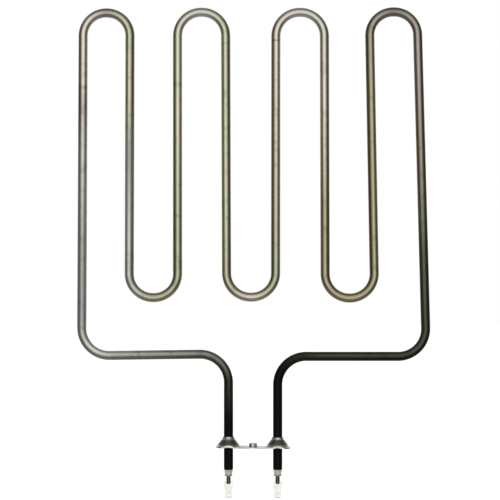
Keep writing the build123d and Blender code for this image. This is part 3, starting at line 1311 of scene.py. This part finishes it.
@dataclass
class Bracket:
    """A pressed strip with a drawn collar round each leg, and the nut in its middle."""

    leg_x: float = 21.25
    bore_r: float = 4.0
    sheet: float = 1.0
    half_depth: float = 9.5
    end_r: float = 11.25
    corner_r: float = 2.0
    foot_r: float = 10.1
    cone_angle: float = np.radians(38.0)
    top_z: float = 9.4
    foot_bend: float = 1.8
    neck_bend: float = 2.0
    seam_x: float = 6.0
    even_r: float = 9.0
    edge_step: float = 0.7
    edge_round: float = 0.12
    skew: float = 0.0125
    nut_shank_r: float = 2.8
    nut_body_r: float = 3.5
    nut_height: float = 3.0
    nut_bore_r: float = 1.65
    nut_chamfer: float = 0.3
    thread_pitch: float = 0.7
    thread_depth: float = 0.32
    profile_steps: int = 12
    end_steps: int = 24
    corner_steps: int = 8
    flange_rows: int = 26
    flange_crowding: float = 1.4
    middle_rows: int = 10
    thread_rows: int = 12
    nut_segments: int = 72

    def build(self, effects: Effects) -> None:
        """Builds the bracket and the nut.

        Args:
            effects: The shared effects.
        """
        plate, nut = self.skewed(self.plate()), self.skewed(self.nut())
        finish = finish_of("bracket", effects)
        make_piece(
            "bracket", plate, finish, "mounting_bracket", bevel=self.edge_round
        )
        make_piece("nut", nut, finish_of("nut", effects), "press_nut")

    def skewed(self, surface: Surface) -> Surface:
        """The surface slid along the legs, so that its left end sits higher: z less skew x."""
        surface.points[:, 2] -= self.skew * surface.points[:, 0]
        return surface

    def profile(self, lift: float) -> np.ndarray:
        """One side of the drawn sheet, from the collar's rim to the flat strip.

        Args:
            lift: The distance from the sheet's underside, 0 or its thickness. A corner that turns
                by t moves along its straight side by lift * tan(t / 2), and its radius shrinks
                by the lift.

        Returns:
            Rows of radius from the leg's axis and height.
        """
        neck_turn, foot_turn = self.cone_angle, np.pi / 2 - self.cone_angle
        neck_z = (self.foot_r - self.bore_r) / np.tan(self.cone_angle)
        return rounded([
            (self.bore_r + lift, self.top_z, 0),
            (self.bore_r + lift, neck_z + lift * np.tan(neck_turn / 2), self.neck_bend - lift),
            (self.foot_r + lift * np.tan(foot_turn / 2), lift, self.foot_bend - lift),
            (2 * self.leg_x, lift, 0),
        ], self.profile_steps)

    def end_outline(self) -> np.ndarray:
        """The right half of the strip's outline as seen from above, from seam to seam.

        About the leg's axis, the outline's distance at angle a is the end's radius, the nearer
        side of the corner's round, or half_depth / sin a along the straight edge.

        Returns:
            Rows of x and y.
        """
        reach = self.end_r - self.corner_r
        corner_y = self.half_depth - self.corner_r
        corner_x = np.sqrt(reach ** 2 - corner_y ** 2)
        low, high = np.arctan2(corner_y, corner_x), np.arctan2(self.half_depth, corner_x)
        end_turn = np.linspace(0, low, self.end_steps)
        corner_turn = np.linspace(low, high, self.corner_steps + 1)[1:]
        off = corner_turn - low
        corner_far = reach * np.cos(off) + np.sqrt(self.corner_r ** 2 - (reach * np.sin(off)) ** 2)
        turn = np.concatenate([end_turn, corner_turn])
        far = np.concatenate([np.full(len(end_turn), self.end_r), corner_far])
        x = self.leg_x + far * np.cos(turn)
        y = far * np.sin(turn)
        straight = np.arange(x[-1], self.seam_x, -self.edge_step)[1:]
        x = np.concatenate([x, straight, [self.seam_x]])
        y = np.concatenate([y, np.full(len(straight) + 1, self.half_depth)])
        back = np.stack([x, y], axis=-1)
        front = back[:0:-1] * (1, -1)
        return np.concatenate([front, back])

    def seam(self) -> np.ndarray:
        """The points along Y that the strip's middle shares with each of its ends."""
        count = int(2 * self.half_depth / self.edge_step)
        return np.linspace(-self.half_depth, self.half_depth, count)

    def plate(self) -> Surface:
        """The whole sheet: both ends, the middle, the cut edges, the rims and the nut's hole.

        Over an end, the surface is a function of the way out along a ray from the leg's axis and
        of the outline's point that the ray reaches. Its height is the drawn profile's at that
        radius.

        Returns:
            The closed sheet.
        """
        seam = self.seam()
        outline = self.end_outline()
        inner = np.stack([np.full(len(seam), self.seam_x), seam], axis=-1)[::-1][1:-1]
        around = np.concatenate([outline, inner])
        parts = []
        for sign in (-1, 1):
            sides = [self._end(around, lift) for lift in (0.0, self.sheet)]
            edge = np.stack([side[-1][:len(outline)] for side in sides])
            rim = np.stack([side[0] for side in sides])
            for points in (*sides, edge, rim):
                parts.append(grid(points * (sign, 1, 1), wrap_columns=points is not edge))
        parts += self._middle(seam)
        return joined(parts)

    def _end(self, around: np.ndarray, lift: float) -> np.ndarray:
        """One side of the right end, as rays from the collar's rim out to the outline.

        Args:
            around: The outline's points, as rows of x and y.
            lift: The side's distance from the sheet's underside.

        Returns:
            A grid of points, one row for each step outwards.
        """
        profile = self.profile(lift)
        near = profile[profile[:, 0] < self.even_r]
        near_r, near_z = near[:, 0], near[:, 1]
        offset = around - (self.leg_x, 0)
        far = np.hypot(offset[:, 0], offset[:, 1])
        direction = offset / far[:, None]
        share = np.linspace(0, 1, self.flange_rows)[:, None] ** self.flange_crowding
        outer_r = self.even_r + share * (far - self.even_r)
        outer_z = np.interp(outer_r, profile[1:, 0], profile[1:, 1])
        rays = np.ones((1, len(far)))
        radius = np.concatenate([near_r[:, None] * rays, outer_r])
        height = np.concatenate([near_z[:, None] * rays, outer_z])
        x = self.leg_x + radius * direction[:, 0]
        return np.stack([x, radius * direction[:, 1], height], axis=-1)

    def _middle(self, seam: np.ndarray) -> list[Surface]:
        """The flat between the ends: rays from the nut's hole to a rectangle, and their edges.

        Args:
            seam: The points along Y that it shares with each end.

        Returns:
            Its underside, its top, the hole's wall, and its back and front edges.
        """
        count = int(2 * self.seam_x / self.edge_step)
        x = np.linspace(self.seam_x, -self.seam_x, count)
        right = np.stack([np.full(len(seam), self.seam_x), seam], axis=-1)
        back = np.stack([x, np.full(count, self.half_depth)], axis=-1)
        loop = np.concatenate([right, back[1:-1], -right, -back[1:-1]])
        hole = loop / np.linalg.norm(loop, axis=1, keepdims=True) * self.nut_shank_r
        share = np.linspace(0, 1, self.middle_rows)[:, None, None]
        flat = hole + share * (loop - hole)
        low = np.concatenate([flat, np.zeros_like(flat[..., :1])], axis=-1)
        high = low + (0, 0, self.sheet)
        back_edge = slice(len(seam) - 1, len(seam) + count - 1)
        edge = np.stack([low[-1, back_edge], high[-1, back_edge]])
        parts = [grid(low), grid(high), grid(np.stack([low[0], high[0]]))]
        parts += [grid(edge * (1, sign, 1), wrap_columns=False) for sign in (1, -1)]
        return parts

    def nut(self) -> Surface:
        """The press-in nut: a turned profile whose bore carries a thread.

        The bore's radius grows by depth times a triangle wave of height / pitch - turn / 2 pi,
        and the thread runs out over half a pitch at each end.

        Returns:
            The closed nut.
        """
        top = self.sheet + self.nut_height
        c, bore = self.nut_chamfer, self.nut_bore_r
        outer = rounded([
            (bore + c, 0, 0), (self.nut_shank_r, 0, 0.1), (self.nut_shank_r, self.sheet, 0.05),
            (self.nut_body_r, self.sheet, 0.1), (self.nut_body_r, top - c, 0.1),
            (self.nut_body_r - c, top, 0.1), (bore + c, top, 0),
        ])
        bore_z = np.arange(top - c, c, -self.thread_pitch / self.thread_rows)
        profile = np.concatenate([outer, np.stack([np.full(len(bore_z), bore), bore_z], axis=-1)])
        points = lathe(profile, 0.0, closed=True, segments=self.nut_segments)
        turn = np.linspace(0, 2 * np.pi, self.nut_segments, endpoint=False)
        radius, height = np.append(profile[:, :1], profile[:1, :1], 0), points[..., 2]
        wave = np.abs((height / self.thread_pitch - turn / (2 * np.pi)) % 1 - 0.5) * 2
        half_pitch = self.thread_pitch / 2
        fade_in = smoothstep(c, c + half_pitch, height)
        fade_out = 1 - smoothstep(top - c - half_pitch, top - c, height)
        cut = self.thread_depth * wave * fade_in * fade_out
        grown = np.where(radius == bore, radius + cut, radius)
        return grid(np.stack([grown * np.cos(turn), grown * np.sin(turn), height], axis=-1))


# ---- Studio ----


@dataclass
class Studio:
    """A white room: a soft light round the camera, a backdrop, dark sides and a pale floor."""

    camera_distance: float = 1.802
    aim_x: float = -0.00266
    aim_z: float = 0.1711
    lens: float = 150.0
    sensor: float = 36.0
    floor_z: float = -0.33
    floor_half: float = 12.0
    ambient: float = 0.78
    key_height: float = np.radians(18.0)
    key_strength: float = 1.27
    key_inner: float = np.radians(8.0)
    key_outer: float = np.radians(58.0)
    backdrop_span: Span = (0.3, 0.95)
    backdrop_strength: float = 0.95
    side_strength: float = 0.15
    ceiling_span: Span = (0.35, 0.85)
    ceiling_strength: float = 0.13
    below_span: Span = (-0.9, -0.35)
    below_strength: float = 0.2
    shade: Colour = (255, 252, 242)
    shade_span: Span = (0.2, 0.6)
    sun_strength: float = 0.6
    sun_size: float = np.radians(12.0)
    sun_turn: tuple[float, float, float] = (np.radians(38.0), np.radians(-18.0), 0.0)
    floor_paper: Colour = (225, 225, 225)
    floor_glow: float = 0.42

    def build(self) -> None:
        """Builds the camera, the world, the lamp and the floor."""
        bpy.context.scene.view_settings.view_transform = "Standard"
        self._camera()
        self._world()
        self._sun()
        self._floor()

    def _camera(self) -> None:
        """A long lens looking straight along +Y, level with the middle of the element."""
        data = bpy.data.cameras.new("camera")
        data.lens = self.lens
        data.sensor_width = self.sensor
        camera = bpy.data.objects.new("camera", data)
        camera.location = (self.aim_x, -self.camera_distance, self.aim_z)
        camera.rotation_euler = (np.pi / 2, 0, 0)
        bpy.context.scene.collection.objects.link(camera)
        bpy.context.scene.camera = camera

    def _world(self) -> None:
        """White to the camera, an even pale grey to matt surfaces, and the studio to gloss.

        The studio is a round soft light towards -Y, a backdrop towards +Y, a dim floor, and dark
        between them.
        """
        world = bpy.data.worlds.new("studio")
        world.use_nodes = True
        bpy.context.scene.world = world
        w = Wiring(world.node_tree)
        direction = w.add("TexCoord").outputs["Generated"]
        towards = (0.0, -np.cos(self.key_height), np.sin(self.key_height))
        _, ahead, height = w.add("SeparateXYZ", {0: direction}).outputs
        key = w.add("VectorMath", {0: direction, 1: towards}, operation="DOT_PRODUCT")
        edges = np.cos(self.key_outer), np.cos(self.key_inner)
        key = w.between(key.outputs["Value"], *edges, 0.0, self.key_strength)
        back = w.between(ahead, *self.backdrop_span, self.side_strength, self.backdrop_strength)
        below = w.between(height, *self.below_span, self.below_strength, 0.0)
        above = w.between(height, *self.ceiling_span, 0.0, self.ceiling_strength)
        studio = w.plus(w.plus(key, back), w.plus(below, above))
        tone = w.mix(w.between(studio, *self.shade_span), linear(*self.shade), WHITE)
        path = w.add("LightPath").outputs
        seen = w.math("MAXIMUM", path["Is Camera Ray"], path["Is Transmission Ray"])
        even = w.add("Background", {"Color": WHITE, "Strength": self.ambient}).outputs[0]
        white = w.add("Background", {"Color": WHITE, "Strength": 1.0}).outputs[0]
        gloss = w.add("Background", {"Color": tone, "Strength": studio}).outputs[0]
        lit = w.either(path["Is Glossy Ray"], even, gloss)
        w.add("OutputWorld", {"Surface": w.either(seen, lit, white)})

    def _sun(self) -> None:
        """A broad lamp from above the left shoulder, seen by matt surfaces only."""
        data = bpy.data.lights.new("sun", "SUN")
        data.energy = self.sun_strength
        data.angle = self.sun_size
        lamp = bpy.data.objects.new("sun", data)
        lamp.rotation_euler = self.sun_turn
        lamp.visible_glossy = False
        bpy.context.scene.collection.objects.link(lamp)

    def _floor(self) -> None:
        """A floor that takes the element's shadow, is white round it and hides nothing below."""
        w = MaterialWiring("floor_white")
        paper = w.add("BsdfDiffuse", {"Color": linear(*self.floor_paper)}).outputs[0]
        glow = w.add("Emission", {"Color": WHITE, "Strength": self.floor_glow}).outputs[0]
        lit = w.add("AddShader", {0: paper, 1: glow}).outputs[0]
        top = w.either(w.add("LightPath").outputs["Is Camera Ray"], paper, lit)
        under = w.add("NewGeometry").outputs["Backfacing"]
        material = w.finished(w.either(under, top, w.add("BsdfTransparent").outputs[0]))
        h, z = self.floor_half, self.floor_z
        mesh = bpy.data.meshes.new("floor")
        mesh.from_pydata([(-h, -h, z), (h, -h, z), (h, h, z), (-h, h, z)], [], [(0, 1, 2, 3)])
        mesh.materials.append(material)
        floor = bpy.data.objects.new("floor", mesh)
        floor.visible_glossy = False
        bpy.context.scene.collection.objects.link(floor)


def main() -> None:
    """Builds the element and the studio round it."""
    logging.basicConfig(level=logging.INFO, format="%(name)s: %(message)s")
    effects = Effects()
    HeatedLength(Route()).build(effects)
    for side in Side:
        LegEnd(side).build(effects)
    Bracket().build(effects)
    Studio().build()


if __name__ == "__main__":
    main()
